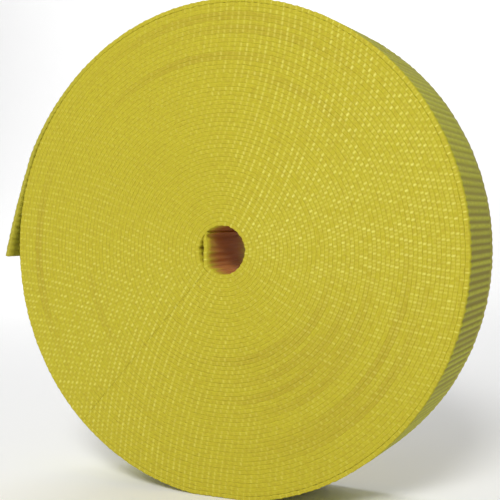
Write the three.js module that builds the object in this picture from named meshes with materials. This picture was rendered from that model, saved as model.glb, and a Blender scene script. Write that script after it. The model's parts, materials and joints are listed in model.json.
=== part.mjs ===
// A coil of flat woven lifting webbing, wound on itself around an open centre and standing on its rim.
// Millimetres, +Z up. The coil's axis lies along Y and its front face looks towards -Y. The origin is
// the middle of the small flat that the coil stands on. Angles run from +X over the top (+Z) to -X,
// which is also the way the strap winds outwards.
import * as THREE from 'three';

// The strap
const STRAP_WIDTH = 50;
const TURN_PITCH = 2.225; // one thickness of webbing with the air beside it
const LAYER_GAP = 0.3;
const STRAP_THICKNESS = TURN_PITCH - LAYER_GAP;

// The winding, counted in stations of equal angle so that the facets of all turns nest
const HOLE_RADIUS = 11.2;
const STATIONS_PER_TURN = 30;
const STATION_ANGLE = (2 * Math.PI) / STATIONS_PER_TURN;
const INNER_TIP = 11; // station of the strap's inner end
const FIRST_TURN = 19; // station where the straight inner end runs into the first turn
const AFTER_FLAT = 23; // station at the end of the facet that the coil stands on
const WHOLE_TURNS = 51;
const PEEL_START = 9 + (WHOLE_TURNS + 1) * STATIONS_PER_TURN; // station where the strap can lift off
const PEEL_LINKS = 4;
const TURN_END_GAP = 0.3; // between the ends of two stretches that follow each other

// The free outer end, which hangs off the coil's left side
const TAIL_LINK_LENGTH = 19.7;
const TAIL_LEANS = [23.8, 17.3, 12.5]; // degrees away from straight down, link by link
const LINK_GAP = 0.7; // lets the links bend without their corners meeting

// The free inner end, a straight chord across the left of the hole
const INNER_END_TRIM = 1.1; // clears the sharp bend where it joins the first turn

// Winding radius of the strap's inner surface. It grows by one pitch a turn and rests over the bottom
// facet, so that this facet is level.
function innerRadius(station) {
  const steps = STATIONS_PER_TURN - 1;
  const grown = (at) => {
    const past = at - AFTER_FLAT;
    const turns = Math.floor(past / STATIONS_PER_TURN);
    return turns + (past - turns * STATIONS_PER_TURN) / steps;
  };
  return HOLE_RADIUS + TURN_PITCH * (grown(station) - grown(INNER_TIP));
}

function polar(radius, angle) {
  return new THREE.Vector2(radius * Math.cos(angle), radius * Math.sin(angle));
}

function middlePoint(station) {
  return polar(innerRadius(station) + STRAP_THICKNESS / 2, station * STATION_ANGLE);
}

const LAST_BOTTOM = AFTER_FLAT - 1 + WHOLE_TURNS * STATIONS_PER_TURN;
const AXIS_HEIGHT = (innerRadius(LAST_BOTTOM) + STRAP_THICKNESS) * Math.cos(STATION_ANGLE / 2);

function webbing() {
  return new THREE.MeshStandardMaterial({ color: 0xc4bb32, roughness: 0.72, metalness: 0 });
}

function strapMesh(name, geometry) {
  const mesh = new THREE.Mesh(geometry, webbing());
  mesh.name = name;
  return mesh;
}

// One stretch of the spiral from one station to another, as a strip as wide as the strap.
function windingGeometry(first, last, trimFirst, trimLast) {
  const outer = [];
  const inner = [];
  for (let station = first; station <= last; station += 1) {
    const radius = innerRadius(station);
    let angle = station * STATION_ANGLE;
    if (station === first) {
      angle += trimFirst / radius;
    }
    if (station === last) {
      angle -= trimLast / radius;
    }
    outer.push(polar(radius + STRAP_THICKNESS, angle));
    inner.unshift(polar(radius, angle));
  }
  const section = new THREE.Shape([...outer, ...inner]);
  const geometry = new THREE.ExtrudeGeometry(section, { depth: STRAP_WIDTH, bevelEnabled: false });
  geometry.translate(0, 0, -STRAP_WIDTH / 2);
  return geometry.rotateX(Math.PI / 2);
}

// A straight stretch that starts at its group's origin and runs along local +X.
function straightGeometry(length, trimStart, trimEnd) {
  const kept = length - trimStart - trimEnd;
  const geometry = new THREE.BoxGeometry(kept, STRAP_WIDTH, STRAP_THICKNESS);
  return geometry.translate(trimStart + kept / 2, 0, 0);
}

// A group at a point of the coil's plane, turned so that its local +X runs along the given heading.
function placedGroup(point, heading) {
  const group = new THREE.Group();
  group.position.set(point.x, 0, point.y);
  group.rotation.y = -heading;
  return group;
}

function addInnerEnd(coil) {
  const joint = middlePoint(FIRST_TURN);
  const chord = middlePoint(INNER_TIP).sub(joint);
  const group = placedGroup(joint, chord.angle());
  group.add(strapMesh('inner_end', straightGeometry(chord.length(), INNER_END_TRIM, 0)));
  coil.add(group);
}

function addTurns(coil) {
  for (let turn = 1; turn <= WHOLE_TURNS; turn += 1) {
    const first = FIRST_TURN + (turn - 1) * STATIONS_PER_TURN;
    const trimFirst = turn === 1 ? INNER_END_TRIM : TURN_END_GAP / 2;
    const name = `turn_${String(turn).padStart(2, '0')}`;
    const geometry = windingGeometry(first, first + STATIONS_PER_TURN, trimFirst, TURN_END_GAP / 2);
    coil.add(strapMesh(name, geometry));
  }
  const outermost = FIRST_TURN + WHOLE_TURNS * STATIONS_PER_TURN;
  const geometry = windingGeometry(outermost, PEEL_START, TURN_END_GAP / 2, LINK_GAP / 2);
  coil.add(strapMesh('outer_turn', geometry));
}

// The last stretch on the coil, as links that can lift off it one after the other.
function addPeelLinks(coil) {
  for (let link = 0; link < PEEL_LINKS; link += 1) {
    const start = middlePoint(PEEL_START + link);
    const span = middlePoint(PEEL_START + link + 1).sub(start);
    const group = placedGroup(start, span.angle());
    const geometry = straightGeometry(span.length(), LINK_GAP / 2, LINK_GAP / 2);
    group.add(strapMesh(`peel_link_${link + 1}`, geometry));
    coil.add(group);
  }
}

function addFreeEnd(coil) {
  let start = middlePoint(PEEL_START + PEEL_LINKS);
  TAIL_LEANS.forEach((lean, link) => {
    const heading = -Math.PI / 2 - THREE.MathUtils.degToRad(lean);
    const trimEnd = link === TAIL_LEANS.length - 1 ? 0 : LINK_GAP / 2;
    const group = placedGroup(start, heading);
    group.add(strapMesh(`free_end_${link + 1}`, straightGeometry(TAIL_LINK_LENGTH, LINK_GAP / 2, trimEnd)));
    coil.add(group);
    start = start.clone().add(polar(TAIL_LINK_LENGTH, heading));
  });
}

function buildSling() {
  const sling = new THREE.Group();
  sling.name = 'strap_coil';
  const coil = new THREE.Group();
  coil.name = 'coil';
  coil.position.z = AXIS_HEIGHT;
  addInnerEnd(coil);
  addTurns(coil);
  addPeelLinks(coil);
  addFreeEnd(coil);
  sling.add(coil);
  return sling;
}

export default buildSling();
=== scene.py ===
import json
import math

import bpy
import numpy as np
from mathutils import Matrix, Vector


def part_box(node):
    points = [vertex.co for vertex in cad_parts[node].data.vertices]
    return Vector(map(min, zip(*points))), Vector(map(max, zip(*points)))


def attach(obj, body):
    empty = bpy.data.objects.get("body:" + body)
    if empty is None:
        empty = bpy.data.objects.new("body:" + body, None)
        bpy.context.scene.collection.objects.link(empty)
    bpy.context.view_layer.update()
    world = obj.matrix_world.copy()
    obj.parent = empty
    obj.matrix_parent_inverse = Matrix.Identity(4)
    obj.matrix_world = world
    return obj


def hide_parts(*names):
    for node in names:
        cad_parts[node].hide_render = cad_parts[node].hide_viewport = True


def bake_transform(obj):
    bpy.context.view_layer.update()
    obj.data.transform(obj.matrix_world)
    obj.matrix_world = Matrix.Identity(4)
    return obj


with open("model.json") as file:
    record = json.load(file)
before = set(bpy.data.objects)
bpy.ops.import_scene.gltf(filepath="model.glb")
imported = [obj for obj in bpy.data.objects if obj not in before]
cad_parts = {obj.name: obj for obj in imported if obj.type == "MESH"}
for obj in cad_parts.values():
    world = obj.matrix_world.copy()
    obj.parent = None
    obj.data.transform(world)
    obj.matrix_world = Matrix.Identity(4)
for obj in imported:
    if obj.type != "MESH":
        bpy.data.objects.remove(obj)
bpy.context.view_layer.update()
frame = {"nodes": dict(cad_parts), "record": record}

# A coil of flat woven lifting webbing, in metres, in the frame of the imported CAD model: the coil's
# axis lies along Y, its front face looks towards -Y, and angles run from +X over the top to -X,
# which is also the way the strap winds outwards.

HOLE_BOX = frame["record"]["physics"]["openings"][0]["box_m"]

# The winding, as in the CAD model, which makes each turn of thirty flat facets. A station is a
# place on the winding, counted in those facets from the +X axis. OUTER_BOTTOM is the one under the
# coil, on its outermost turn.
AXIS_HEIGHT = (HOLE_BOX[0][2] + HOLE_BOX[1][2]) / 2
STRAP_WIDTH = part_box("turn_01")[1].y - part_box("turn_01")[0].y
WHOLE_TURNS = sum(name.startswith("turn_") for name in frame["nodes"])
STATIONS_PER_TURN = 30
STATION = math.tau / STATIONS_PER_TURN
STATION_DEGREES = 360 / STATIONS_PER_TURN
INNER_TIP = 11
FIRST_TURN = 19
INNER_BEND = FIRST_TURN + 2
PEEL_START = 9 + (WHOLE_TURNS + 1) * STATIONS_PER_TURN
PEEL_LINKS = 4
BEND_START = PEEL_START - 0.5
TAIL_LINKS = 3
TAIL_START = PEEL_START + PEEL_LINKS
TAIL_END = TAIL_START + TAIL_LINKS
OUTER_BOTTOM = PEEL_START - 15
HOLE_RADIUS = 0.0112
TURN_PITCH = 0.002225
CAD_THICKNESS = 0.001925

# What the visual model adds to the winding: the hole a little off centre, the inner end as a chord,
# the last turn standing off, and the free end, which hangs with less lean towards its tip
HOLE_OFFSET = np.array([[0.0016], [0.0005]])
HOLE_OFFSET_REACH = 0.035
CHORD_MIDDLE = (INNER_TIP + FIRST_TURN) / 2
CHORD_SETBACK = 0.0018
CHORD_SWING = 1.2
CHORD_BLEND = 0.0004
CHORD_LAST = FIRST_TURN + 5
SETTLE_POWER = 3
LIFT_OFF = 0.0010
TAIL_LENGTH = 0.0605
TAIL_LEANS = (math.radians(21.5), math.radians(14.2))
PATH_STEP = 0.05
TAIL_SAMPLES = 90

# The strap. A face that another turn hides reaches past the strap's half thickness by SEAM_OVERLAP.
THICKNESS = 0.002222
SEAM_OVERLAP = 0.000034
INNER_TAPER = 0.0045
THINNEST_TIP = 0.3
EDGE_ROUND = 0.000002
WANDER = 0.00001
WANDER_RATES = (9.1, 23.7)
WANDER_STARTS = (1.3, 0.0)
RIPPLE = 0.00012
RIPPLE_RATES = (930, 810)
RIPPLE_STARTS = (1.7, 0.6)

# The weave: ribs across both faces, and yarns that turn round in loops on the edges, which are
# called selvedges. LOOP_WIDEST and TINT_WIDEST are what is left of a loop's reach and of its
# painted highlight where the edge meets the faces.
RIB_PITCH = 0.0035
RIB_DEPTH = 0.00044
RIB_LEVEL = 0.85
OUTER_EDGE_RIBS = 0.6
BOLDNESS_MEAN = 0.92
BOLDNESS_SWING = 0.24
BOLDNESS_RATE = 0.9
BOLDNESS_START = 0.68
LOOP_HEIGHT = 0.00020
LOOP_LEVEL = 0.35
LOOP_EVENNESS = 0.25
LOOP_WIDEST = 0.15
LOOP_HIGHLIGHT = 0.56
TINT_WIDEST = 0.2
# Painted shade in the selvedge's grooves, and the share of it taken back to lighten the seams
EDGE_GROOVE_SHADE = 0.42
SEAM_LIGHTENING = 0.9

# Painted shade on the free end: the share its outer face takes against its inner one. The hole's
# painted shade is weaker on the stretch of the first turn that lies behind the inner end, and on
# ribs near the strap's edges, which are painted as lit.
OUTER_TAIL_SHADING = 0.25
BEHIND_INNER_END = (INNER_TIP + 32, FIRST_TURN + 30)
BEHIND_SHADE = 0.4
LIT_RIBS = 1.6

RANDOM = np.random.RandomState(7)
LOOP_COUNT = 14400
LOOP_SIZE = np.clip(RANDOM.normal(0.62, 0.34, (2, LOOP_COUNT)), 0.04, 1.3)
LOOP_SHIFT = RANDOM.uniform(-0.00028, 0.00028, (2, LOOP_COUNT))
RIB_SIZE = RANDOM.uniform(0.6, 1.1, LOOP_COUNT)
RIB_STEP = RANDOM.uniform(-0.16, 0.16, LOOP_COUNT)


# The camera, solved from the photograph's silhouette and the edge of the front face

CAMERA_AZIMUTH = math.radians(25.26)
CAMERA_ELEVATION = math.radians(2.05)
CAMERA_DISTANCE = 0.5097
CAMERA_LENS = 71.8
CAMERA_SENSOR = 36
CAMERA_CLIP = 0.01
LOOK_RIGHT = 0.0154
LOOK_UP = 0.0011


def make_camera():
    """The camera looks a little to the right of the middle of the coil's front face."""
    data = bpy.data.cameras.new("camera")
    data.lens = CAMERA_LENS
    data.sensor_width = CAMERA_SENSOR
    data.clip_start = CAMERA_CLIP
    camera = bpy.data.objects.new("camera", data)
    bpy.context.scene.collection.objects.link(camera)
    flat = math.cos(CAMERA_ELEVATION)
    x, y = math.sin(CAMERA_AZIMUTH) * flat, -math.cos(CAMERA_AZIMUTH) * flat
    back = Vector((x, y, math.sin(CAMERA_ELEVATION)))
    turn = back.to_track_quat("Z", "Y")
    aim = Vector((0, -STRAP_WIDTH / 2, AXIS_HEIGHT)) + turn @ Vector((LOOK_RIGHT, LOOK_UP, 0))
    camera.matrix_world = Matrix.LocRotScale(aim + back * CAMERA_DISTANCE, turn, None)
    bpy.context.scene.camera = camera


# The strap's centreline


def spiral_radius(station):
    """Radius of the strap's middle surface on the winding."""
    turns = (station - INNER_TIP) / STATIONS_PER_TURN
    return HOLE_RADIUS + CAD_THICKNESS / 2 + TURN_PITCH * turns


def centre_radius(station):
    """The winding, with the inner end as a straight chord that runs smoothly into turn one."""
    spiral = spiral_radius(station)
    half_span = (FIRST_TURN - INNER_TIP) / 2 * STATION
    nearest = spiral_radius(INNER_TIP) * math.cos(half_span) + CHORD_SETBACK
    swing = np.clip((station - CHORD_MIDDLE) * STATION, -CHORD_SWING, CHORD_SWING)
    chord = nearest / np.cos(swing)
    radius = -CHORD_BLEND * np.logaddexp(-chord / CHORD_BLEND, -spiral / CHORD_BLEND)
    return np.where(station < CHORD_LAST, radius, spiral)


def flatten_bottom(x, z, radius):
    """The coil settles a little on the floor, its outer turns more than its inner ones."""
    outermost = spiral_radius(OUTER_BOTTOM) + THICKNESS / 2
    away_from_zero = 0.2
    down = np.maximum(-z / radius, away_from_zero)
    squeeze = np.minimum(1, AXIS_HEIGHT / (outermost * down))
    share = (radius / outermost) ** SETTLE_POWER
    factor = 1 + (squeeze - 1) * share
    return x * factor, z * factor


def lift_off(station):
    """How far the last stretch stands off the turn beneath, growing towards the free end."""
    return LIFT_OFF * np.clip((station - PEEL_START - 2) / (PEEL_LINKS - 2), 0, 1) ** 2


def strap_path():
    """Fine samples of the whole strap: station, length along it, middle and outward normal."""
    winding = np.arange(INNER_TIP, TAIL_START, PATH_STEP)
    radius = centre_radius(winding)
    x = radius * np.cos(winding * STATION)
    z = radius * np.sin(winding * STATION)
    x, z = flatten_bottom(x, z, radius)
    lift = 1 + lift_off(winding) / radius
    x, z = x * lift, z * lift
    steps = np.linspace(0, 1, TAIL_SAMPLES)
    lean = TAIL_LEANS[0] + (TAIL_LEANS[1] - TAIL_LEANS[0]) * steps
    stride = TAIL_LENGTH / (len(steps) - 1)
    tail_x = x[-1] - stride * np.cumsum(np.sin(lean))
    tail_z = z[-1] - stride * np.cumsum(np.cos(lean))
    station = np.concatenate([winding, TAIL_START + TAIL_LINKS * steps])
    x = np.concatenate([x, tail_x])
    z = np.concatenate([z, tail_z])
    along = np.concatenate([[0], np.cumsum(np.hypot(np.diff(x), np.diff(z)))])
    tangent_x, tangent_z = np.gradient(x), np.gradient(z)
    size = np.hypot(tangent_x, tangent_z)
    normal = {"nx": tangent_z / size, "nz": -tangent_x / size}
    return {"station": station, "along": along, "x": x, "z": z, **normal}


PATH = strap_path()


def length_at(station):
    """Length along the strap from its inner tip to a station."""
    return float(np.interp(station, PATH["station"], PATH["along"]))


def path_values(along, *keys):
    """Values of the path at lengths along the strap, one row for each key."""
    return np.stack([np.interp(along, PATH["along"], PATH[key]) for key in keys])


# Where two turns are wound a little looser: share of the coil's radius, angle and reach in degrees,
# looseness. The places are approximate. The overlap of the turns leaves a gap of at most 0.03 mm,
# so what shows there is mostly painted shade, a darker colour laid along the loose turns.
LOOSE_PLACES = [
    (0.940, 95, 30, 0.00015),
    (0.885, 80, 26, 0.00013),
    (0.775, 100, 30, 0.00016),
    (0.890, 182, 24, 0.00017),
    (0.845, 318, 26, 0.00016),
    (0.815, 300, 20, 0.00012),
    (0.770, 325, 30, 0.00017),
    (0.667, 310, 24, 0.00014),
    (0.633, 330, 24, 0.00013),
    (0.600, 300, 26, 0.00016),
    (0.563, 325, 22, 0.00014),
    (0.525, 305, 24, 0.00015),
    (0.473, 320, 26, 0.00015),
    (0.434, 295, 28, 0.00015),
    (0.700, 60, 20, 0.00011),
    (0.620, 205, 18, 0.00010),
]


def loose_station(share, angle):
    """The station at an angle whose turn lies nearest to a share of the coil's radius."""
    at = math.radians(angle) / STATION
    turns = (share * AXIS_HEIGHT - spiral_radius(at)) / TURN_PITCH
    return at + STATIONS_PER_TURN * round(turns)


LOOSE_STATIONS = [
    (loose_station(share, angle), reach / STATION_DEGREES, looseness)
    for share, angle, reach, looseness in LOOSE_PLACES
]
THINNING = 0.27
# Painted shade in the gaps between loose turns, added to the selvedge's groove shade
LOOSE_GAP_SHADE = 9000


def slack(station, side):
    """How much thinner the strap is on one side, where it lies loosely on the next turn."""
    thinner = np.zeros_like(station)
    for where, reach, looseness in LOOSE_STATIONS:
        centre = where if side > 0 else where + STATIONS_PER_TURN
        thinner += looseness * THINNING * np.exp(-(((station - centre) / reach) ** 2))
    return thinner


# How boldly the loops stand out around the coil, in height and in their painted highlight. The
# numbers were fitted to the contrast that the photograph shows, so they hold its lighting as well
# as the weave.
LOOP_MEAN = 0.54
LOOP_DIAGONAL = 0.31
LOOP_DIAGONAL_ANGLE = math.radians(32)
LOOP_RIGHT = 0.13
HALF_WAY_RIGHT = 0.45
HALF_WAY_RIGHT_ANGLE = math.radians(-10)
HALF_WAY_LEFT = 0.15


def loop_and_highlight_strength(angle):
    """How boldly the loops and their painted highlights stand out at an angle around the coil."""
    diagonal = LOOP_DIAGONAL * np.cos(2 * (angle - LOOP_DIAGONAL_ANGLE))
    return LOOP_MEAN + diagonal + LOOP_RIGHT * np.cos(angle)


def half_way_loops_and_highlights(angle):
    """How bold the smaller loops half way between two ribs, and their painted highlights, are as a
    share of the others.
    """
    right = np.clip(np.cos(angle - HALF_WAY_RIGHT_ANGLE), 0, 1)
    left = np.clip(-np.cos(angle), 0, 1)
    return HALF_WAY_RIGHT * right**3 + HALF_WAY_LEFT * left**3


# What the material reads from the mesh, beside the place in the weave: the loops' painted highlight,
# painted shade in grooves and gaps, the selvedge mask, painted shade in the hole and on the free end
VALUE_NAMES = ("loop", "groove", "selvedge", "hole_shade", "tail_shade")

# An edge's rows: place through the thickness from -1 to 1, share of the edge's rounding
EDGE_ROWS = [(-1.0, 1.0), (-0.5, 0.15), (0.0, 0.0), (0.5, 0.15), (1.0, 1.0)]


def strap_section(across_points, inner_face, outer_face):
    """The cross-section's rows: on an edge or not, place across and through, rounding."""
    rows = [(True, -1, through, rounding) for through, rounding in EDGE_ROWS]
    shares = np.linspace(-1, 1, across_points + 2)[1:-1]
    if outer_face:
        rows += [(False, share, 1.0, 0.0) for share in shares]
    rows += [(True, 1, through, rounding) for through, rounding in reversed(EDGE_ROWS)]
    if inner_face:
        rows += [(False, share, -1.0, 0.0) for share in reversed(shares)]
    return rows


def ring_lengths(start, end, per_rib):
    """Lengths along the strap at which a stretch has its rings: even steps and both ends."""
    first, last = length_at(start), length_at(end)
    step = RIB_PITCH / per_rib
    inner = np.arange(math.floor(first / step) + 1, math.ceil(last / step)) * step
    apart = (inner > first + step / 4) & (inner < last - step / 4)
    return np.concatenate([[first], inner[apart], [last]])


def rib_ridge(rib):
    """Height of the ribs, from 0 in a groove to about 1 on a rib; rib counts them along."""
    nearest = np.round(rib).astype(int) % LOOP_COUNT
    return (0.5 + 0.5 * np.cos(math.tau * rib + RIB_STEP[nearest] * math.pi)) * RIB_SIZE[nearest]


def hole_shade_strength(across, ridge):
    """How strong the hole's painted shade is on the inner face: least on ribs near the two edges,
    which are painted as lit.
    """
    off_middle = abs(across)
    lit_ribs = LIT_RIBS * ridge**2 * off_middle**3
    return 2 - off_middle**6 - off_middle**1.5 - lit_ribs


def surface_ripple(place):
    """The slight unevenness of the winding, in waves of 7 to 8 mm."""
    waves = [np.sin(p * r + s) for p, r, s in zip(place, RIPPLE_RATES, RIPPLE_STARTS)]
    return RIPPLE * waves[0] * waves[1]


def sideways_wander(along):
    """How far the strap wanders off the middle of the coil, in long waves."""
    return sum(WANDER * np.sin(along * r + s) for r, s in zip(WANDER_RATES, WANDER_STARTS))


def strap_mesh(name, start, end, per_rib, across_points=0, inner_face=False, outer_face=False):
    """A closed stretch of the strap between two stations, with its ribs and selvedge loops."""
    along = ring_lengths(start, end, per_rib)
    station = path_values(along, "station")[0]
    centre = path_values(along, "x", "z")
    normal = path_values(along, "nx", "nz")
    angle = np.arctan2(centre[1], centre[0])
    ridge = rib_ridge(along / RIB_PITCH)
    boldness = BOLDNESS_MEAN + BOLDNESS_SWING * np.sin(station * BOLDNESS_RATE - BOLDNESS_START)
    rib_depth = RIB_DEPTH * boldness * (ridge - RIB_LEVEL)

    # There are two loops to a rib, every second one smaller
    loops_along = 2 * (along / RIB_PITCH)
    loop = np.round(loops_along).astype(int) % LOOP_COUNT
    crest = (0.5 + 0.5 * np.cos(math.tau * loops_along)) ** 3
    # Loop height and painted highlight are bolder at the angles where the light catches the loops
    strength = loop_and_highlight_strength(angle) * np.where(loop % 2, half_way_loops_and_highlights(angle), 1.0)

    wander = sideways_wander(along)
    # Painted shade on the peeling stretch and the free end, growing towards the tip
    tail_shade = np.clip((station - PEEL_START - 1) / (PEEL_LINKS - 1), 0, 1)
    behind = (station > BEHIND_INNER_END[0]) & (station < BEHIND_INNER_END[1])
    loose = slack(station, -1) + slack(station, 1)
    fullness = np.clip((along - length_at(INNER_TIP)) / INNER_TAPER, THINNEST_TIP, 1)

    rows = strap_section(across_points, inner_face, outer_face)
    points = np.zeros((len(along), len(rows), 3))
    weave = np.zeros_like(points)
    values = {key: np.zeros(points.shape[:2]) for key in VALUE_NAMES}
    for row, (edge, across, through, rounding) in enumerate(rows):
        open_face = outer_face if through > 0 else inner_face
        overlap = 0 if open_face else SEAM_OVERLAP
        half = THICKNESS / 2 + overlap - slack(station, through) * abs(through)
        ribs = rib_depth * (OUTER_EDGE_RIBS if edge and through > 0 else 1) if open_face else 0
        if edge:
            side = 0 if across < 0 else 1
            dome = math.cos(math.pi / 2 * through)
            size = LOOP_SIZE[side, loop] * strength
            reach = crest * (LOOP_WIDEST + (1 - LOOP_WIDEST) * dome)
            evened = LOOP_EVENNESS * strength + (1 - LOOP_EVENNESS) * size
            swell = LOOP_HEIGHT * (reach * evened - LOOP_LEVEL)
            y = across * (STRAP_WIDTH / 2 - EDGE_ROUND * rounding + swell)
            lift = half * through + ribs * through**3 + LOOP_SHIFT[side, loop] * reach * dome
            # The loop's lighter colour is a painted highlight on its crest
            highlight = crest * (TINT_WIDEST + (1 - TINT_WIDEST) * dome)
            # Painted shade in the selvedge's grooves, less under a loop's highlight and at the seams
            shade = (1 - highlight * strength) * EDGE_GROOVE_SHADE * (1 - SEAM_LIGHTENING * abs(through))
            values["loop"][:, row] = np.clip(highlight * size * LOOP_HIGHLIGHT, 0, 1)
            # The painted shade of the gaps between loose turns joins it
            values["groove"][:, row] = shade + loose * LOOSE_GAP_SHADE
            values["selvedge"][:, row] = 1
        else:
            y = np.full_like(along, across * STRAP_WIDTH / 2)
            lift = half * through + ribs * through
            # Painted shade in the grooves between the ribs, as strong as the ribs are bold
            values["groove"][:, row] = np.clip(1 - ridge, 0, 1) * boldness
            # Painted shade in the hole, on the faces of the inner end and the inner face of the
            # first turn
            if start <= INNER_BEND:
                shown = np.where(behind, BEHIND_SHADE, 1.0)
                values["hole_shade"][:, row] = hole_shade_strength(across, ridge) * shown
        place = centre + normal * (lift * fullness + THICKNESS / 2 * (1 - fullness))
        place += normal * surface_ripple(place)
        place += HOLE_OFFSET * np.exp(-(place**2).sum(axis=0) / HOLE_OFFSET_REACH**2)
        points[:, row] = np.stack([place[0], y + wander, place[1] + AXIS_HEIGHT], axis=-1)
        weave[:, row] = np.stack([along, y, through * half], axis=-1)
        # The free end's painted shade: full on its edges and inner face, weaker on its outer face
        values["tail_shade"][:, row] = tail_shade * (1 if edge or through < 0 else OUTER_TAIL_SHADING)
    hidden = [] if outer_face else [len(EDGE_ROWS) - 1]
    hidden += [] if inner_face else [len(rows) - 1]
    return mesh_from_rings(name, points, values, weave, hidden)


def mesh_from_rings(name, points, values, weave, hidden):
    """A closed mesh through rings of points, with flat shading on the strips that turns hide."""
    rings, around = points.shape[:2]
    index = np.arange(rings * around).reshape(rings, around)
    following = np.roll(index, -1, axis=1)
    quads = np.stack([index[:-1], following[:-1], following[1:], index[1:]], axis=-1).reshape(-1, 4)
    caps = [index[0, ::-1].tolist(), index[-1].tolist()]
    mesh = bpy.data.meshes.new(name)
    mesh.vertices.add(rings * around)
    mesh.vertices.foreach_set("co", points.astype(np.float32).ravel())
    corners = np.concatenate([quads.ravel(), np.array(caps[0] + caps[1])])
    mesh.loops.add(len(corners))
    mesh.loops.foreach_set("vertex_index", corners.astype(np.int32))
    mesh.polygons.add(len(quads) + 2)
    starts = np.concatenate([np.arange(len(quads) + 1) * 4, [len(quads) * 4 + around]])
    mesh.polygons.foreach_set("loop_start", starts.astype(np.int32))
    mesh.update(calc_edges=True)
    mesh.validate()
    smooth = np.ones((rings - 1, around), bool)
    smooth[:, hidden] = False
    mesh.polygons.foreach_set("use_smooth", np.append(smooth.ravel(), [False, False]))
    for key, value in values.items():
        layer = mesh.attributes.new(key, "FLOAT", "POINT")
        layer.data.foreach_set("value", value.astype(np.float32).ravel())
    layer = mesh.attributes.new("weave", "FLOAT_VECTOR", "POINT")
    layer.data.foreach_set("vector", weave.astype(np.float32).ravel())
    piece = bpy.data.objects.new(name, mesh)
    bpy.context.scene.collection.objects.link(piece)
    return piece


# Materials


def node(tree, kind, inputs=(), **settings):
    """A shader node with its settings, and its inputs set to values or linked to sockets."""
    made = tree.nodes.new(kind)
    for key, value in settings.items():
        setattr(made, key, value)
    for key, value in dict(inputs).items():
        if isinstance(value, bpy.types.NodeSocket):
            tree.links.new(value, made.inputs[key])
        else:
            made.inputs[key].default_value = value
    return made


def maths(tree, operation, first, second=0.0):
    """The result of a calculation; either number may be a socket or a value."""
    return node(tree, "ShaderNodeMath", {0: first, 1: second}, operation=operation).outputs[0]


def noise(tree, place, scale, detail):
    """Noise of a given scale and detail over a place."""
    inputs = {"Vector": place, "Scale": scale, "Detail": detail}
    return node(tree, "ShaderNodeTexNoise", inputs).outputs["Fac"]


def mixed(tree, factor, first, second):
    """A colour mix; either colour may be a socket or a value."""
    first_colour, second_colour, result_colour = 6, 7, 2
    made = node(tree, "ShaderNodeMix", {0: factor}, data_type="RGBA")
    for number, value in ((first_colour, first), (second_colour, second)):
        socket = made.inputs[number]
        if isinstance(value, bpy.types.NodeSocket):
            tree.links.new(value, socket)
        else:
            socket.default_value = (*value, 1)
    return made.outputs[result_colour]


def ramp(tree, value, low, high):
    """A value spread from low to high over 0 to 1."""
    inputs = {"Value": value, "From Min": low, "From Max": high}
    return node(tree, "ShaderNodeMapRange", inputs).outputs[0]


NET_YELLOW = (0.465, 0.41, 0.019)
# Painted highlight colour of the selvedge loops
LOOP_HIGHLIGHT_YELLOW = (0.92, 0.90, 0.24)
# The ochre and olive below paint shade into the grooves of edges and faces; speckles use them too
EDGE_SHADE_AND_SPECKLE_OCHRE = (0.36, 0.26, 0.018)
# The faces' own yellow, given the greener hue the rim shows in shade: a painted shade hue
FACE_YELLOW_SHADE_HUE = (0.52, 0.55, 0.020)
GROOVE_SHADE_AND_SPECKLE_OLIVE = (0.25, 0.205, 0.014)
# Painted shade of the peeling stretch and the free end
TAIL_SHADE_OLIVE = (0.30, 0.275, 0.034)
# Painted shade in the hole: brown, and maroon deepest in the middle of the strap's width
HOLE_SHADE_BROWN = (0.56, 0.38, 0.045)
HOLE_SHADE_MAROON = (0.50, 0.20, 0.050)
FADED_YELLOW = (0.58, 0.50, 0.03)
# Lighter streaks along the fibres: fibre grain with a painted sheen
FIBRE_GRAIN_AND_SHEEN_YELLOW = (0.70, 0.64, 0.08)

# How much of each colour is mixed in, and the sizes of the patterns
FADING = 0.3
SPECKLING = 0.45
TAIL_SHADING = 0.55
FIBRE_GRAIN_AND_SHEEN = 0.18
GROOVE_POWER = 1.3
PATCH_SCALE = 45.0
MOTTLE_SCALE = 650.0
FIBRE_STRETCH = (500.0, 1600.0, 1600.0)
YARN_PITCH = 0.0022


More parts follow.
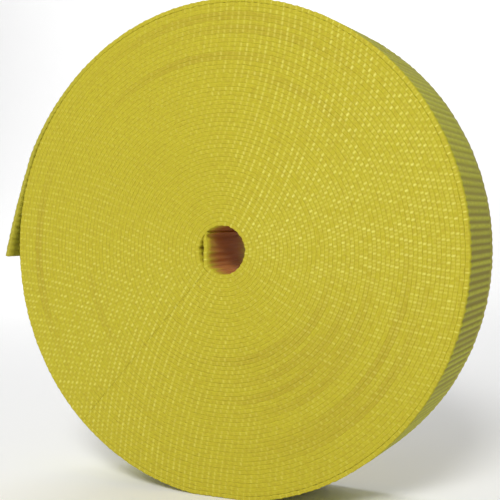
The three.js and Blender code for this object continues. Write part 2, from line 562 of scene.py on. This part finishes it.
def webbing_material():
    """Bright yellow polyester webbing: cross ribs, warp yarns along them and looped selvedges."""
    material = bpy.data.materials.new("webbing_yellow")
    material.use_nodes = True
    tree = material.node_tree
    shader = tree.nodes["Principled BSDF"]
    value = {
        key: node(tree, "ShaderNodeAttribute", attribute_name=key).outputs["Fac"]
        for key in VALUE_NAMES
    }
    weave = node(tree, "ShaderNodeAttribute", attribute_name="weave").outputs["Vector"]
    parts = node(tree, "ShaderNodeSeparateXYZ", {0: weave}).outputs
    patches = noise(tree, weave, scale=PATCH_SCALE, detail=3.0)
    mottle = noise(tree, weave, scale=MOTTLE_SCALE, detail=2.0)
    speckle = ramp(tree, mottle, low=0.42, high=0.68)
    stretch = {0: weave, 1: FIBRE_STRETCH}
    stretched = node(tree, "ShaderNodeVectorMath", stretch, operation="MULTIPLY").outputs[0]
    fibres = noise(tree, stretched, scale=1.0, detail=3.0)
    flat = maths(tree, "SUBTRACT", 1.0, value["selvedge"])
    turned = maths(tree, "SINE", maths(tree, "MULTIPLY", parts[1], math.tau / YARN_PITCH))
    yarn_height = maths(tree, "MULTIPLY", maths(tree, "ABSOLUTE", turned), flat)

    # The faces get a greener yellow than the edges: a painted shade hue
    base = mixed(tree, value["selvedge"], FACE_YELLOW_SHADE_HUE, NET_YELLOW)
    faded = mixed(tree, maths(tree, "MULTIPLY", patches, FADING), base, FADED_YELLOW)
    # Painted shade in grooves and loose gaps, ochre on the edges, olive on the faces; speckles too
    shade = mixed(tree, value["selvedge"], GROOVE_SHADE_AND_SPECKLE_OLIVE, EDGE_SHADE_AND_SPECKLE_OCHRE)
    groove_shade_amount = node(tree, "ShaderNodeClamp", {0: value["groove"]}).outputs[0]
    groove_shaded = mixed(tree, maths(tree, "POWER", groove_shade_amount, GROOVE_POWER), faded, shade)
    speckled = mixed(tree, maths(tree, "MULTIPLY", speckle, SPECKLING), groove_shaded, shade)
    # Painted highlight: the selvedge loops are lightened towards a pale yellow glint
    loop_highlighted = mixed(tree, value["loop"], speckled, LOOP_HIGHLIGHT_YELLOW)
    # Painted shade: the peeling stretch and free end darken to olive, most on inner face and edges
    tail_shaded = mixed(tree, maths(tree, "MULTIPLY", value["tail_shade"], TAIL_SHADING), loop_highlighted, TAIL_SHADE_OLIVE)
    # Fibre grain with a painted sheen: lighter streaks along the fibres
    grain_and_sheen = mixed(tree, maths(tree, "MULTIPLY", fibres, FIBRE_GRAIN_AND_SHEEN), tail_shaded, FIBRE_GRAIN_AND_SHEEN_YELLOW)
    # Painted shade in the hole: brown, turning maroon deeper in towards the middle of the width
    hole_shade = node(tree, "ShaderNodeClamp", {0: value["hole_shade"]}).outputs[0]
    hole_shaded = mixed(tree, hole_shade, grain_and_sheen, HOLE_SHADE_BROWN)
    deepest_hole_shade = ramp(tree, value["hole_shade"], low=0.9, high=1.7)
    tree.links.new(mixed(tree, deepest_hole_shade, hole_shaded, HOLE_SHADE_MAROON), shader.inputs["Base Color"])

    roughness = maths(tree, "ADD", maths(tree, "MULTIPLY", fibres, 0.3), 0.5)
    tree.links.new(roughness, shader.inputs["Roughness"])
    fine = maths(tree, "MULTIPLY", fibres, 0.5)
    height = maths(tree, "ADD", maths(tree, "MULTIPLY", yarn_height, 0.5), fine)
    bump = node(tree, "ShaderNodeBump", {"Height": height, "Strength": 0.45, "Distance": 0.0002})
    tree.links.new(bump.outputs["Normal"], shader.inputs["Normal"])
    shader.inputs["Specular IOR Level"].default_value = 0.15
    shader.inputs["Sheen Weight"].default_value = 0.02
    shader.inputs["Sheen Roughness"].default_value = 0.4
    return material


def plain_material(name, colour, roughness):
    """A material of one colour."""
    material = bpy.data.materials.new(name)
    material.use_nodes = True
    shader = material.node_tree.nodes["Principled BSDF"]
    shader.inputs["Base Color"].default_value = (*colour, 1)
    shader.inputs["Roughness"].default_value = roughness
    return material


# The strap's pieces: rings to a rib where the faces are hidden and where one shows, points across

HIDDEN_DETAIL = 4
SHOWN_DETAIL = 6
ACROSS = 9


def finish_piece(piece, material, *nodes):
    """The material of a piece, and the CAD nodes that it stands for."""
    piece.data.materials.append(material)
    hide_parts(*nodes)


def make_turns(material):
    """The turns that stay on the coil; only the first and the last ones show a face."""
    for turn in range(1, WHOLE_TURNS + 1):
        name = f"turn_{turn:02d}"
        start = INNER_BEND if turn == 1 else FIRST_TURN + (turn - 1) * STATIONS_PER_TURN
        end = FIRST_TURN + turn * STATIONS_PER_TURN
        shown = {"inner_face": turn == 1, "outer_face": turn == WHOLE_TURNS}
        detail = (SHOWN_DETAIL, ACROSS) if any(shown.values()) else (HIDDEN_DETAIL,)
        piece = strap_mesh(f"strap_{name}", start, end, *detail, **shown)
        finish_piece(piece, material, name)
        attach(piece, "coil")
    start, end = FIRST_TURN + WHOLE_TURNS * STATIONS_PER_TURN, BEND_START
    piece = strap_mesh("strap_outer_turn", start, end, SHOWN_DETAIL, ACROSS, outer_face=True)
    finish_piece(piece, material, "outer_turn")
    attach(piece, "coil")


def make_bending(material):
    """The stretches that bend over a joint: each runs from the middle of one link to the next."""
    links = [f"peel_link_{link + 1}" for link in range(PEEL_LINKS)]
    links += [f"free_end_{link + 1}" for link in range(TAIL_LINKS)]
    bodies = ["coil"] + [f"peel_{link + 1}" for link in range(PEEL_LINKS)]
    bodies += [f"tail_{link + 1}" for link in range(TAIL_LINKS)]
    for number, name in enumerate(links):
        start = BEND_START + number
        end = TAIL_END if name == links[-1] else start + 1
        piece = strap_mesh(f"strap_{name}", start, end, SHOWN_DETAIL, ACROSS, True, True)
        finish_piece(piece, material, name)
        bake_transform(piece)


def make_inner_end(material):
    """The strap's inner end, with the bend where it runs into the first turn."""
    ends = INNER_TIP, INNER_BEND
    piece = strap_mesh("strap_inner_end", *ends, SHOWN_DETAIL, ACROSS, True, True)
    finish_piece(piece, material, "inner_end")
    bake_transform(piece)


# The floor and the light


def make_floor():
    """A pale floor that curves up into a backdrop far behind the coil."""
    front, back, radius, top, half_width = -3.0, 2.0, 1.0, 4.0, 4.0
    steps = 24
    profile = [(front, 0.0)]
    for step in range(steps + 1):
        angle = step / steps * math.pi / 2
        profile.append((back + radius * math.sin(angle), radius * (1 - math.cos(angle))))
    profile.append((back + radius, top))
    points = [(x, y, z) for y, z in profile for x in (-half_width, half_width)]
    faces = [(2 * i, 2 * i + 1, 2 * i + 3, 2 * i + 2) for i in range(len(profile) - 1)]
    mesh = bpy.data.meshes.new("floor")
    mesh.from_pydata(points, [], faces)
    mesh.polygons.foreach_set("use_smooth", [True] * len(faces))
    floor = bpy.data.objects.new("floor", mesh)
    bpy.context.scene.collection.objects.link(floor)
    mesh.materials.append(plain_material("floor_white", (0.92, 0.92, 0.92), 0.9))


def make_light(name, place, aim, size, power):
    """A square white light at a place, turned towards its aim."""
    data = bpy.data.lights.new(name, "AREA")
    data.size = size
    data.energy = power
    light = bpy.data.objects.new(name, data)
    bpy.context.scene.collection.objects.link(light)
    light.location = place
    light.rotation_euler = (Vector(aim) - Vector(place)).to_track_quat("-Z", "Y").to_euler()


def make_lights():
    """A small key light above the camera, a weak fill, a light on the backdrop and a pale sky."""
    middle = (0, 0, AXIS_HEIGHT)
    make_light("key", (0.35, -1.55, 1.25), middle, size=0.5, power=27)
    make_light("fill", (-1.4, -1.2, 0.4), middle, size=1.0, power=3)
    make_light("backdrop", (-1.3, 1.0, 2.4), (-1.5, 3.0, 0.6), size=2.0, power=60)
    world = bpy.data.worlds.new("studio")
    world.use_nodes = True
    background = world.node_tree.nodes["Background"]
    background.inputs["Color"].default_value = (1, 1, 1, 1)
    background.inputs["Strength"].default_value = 0.26
    bpy.context.scene.world = world


make_camera()
webbing = webbing_material()
make_inner_end(webbing)
make_turns(webbing)
make_bending(webbing)
make_floor()
make_lights()
bpy.context.scene.view_settings.view_transform = "Standard"
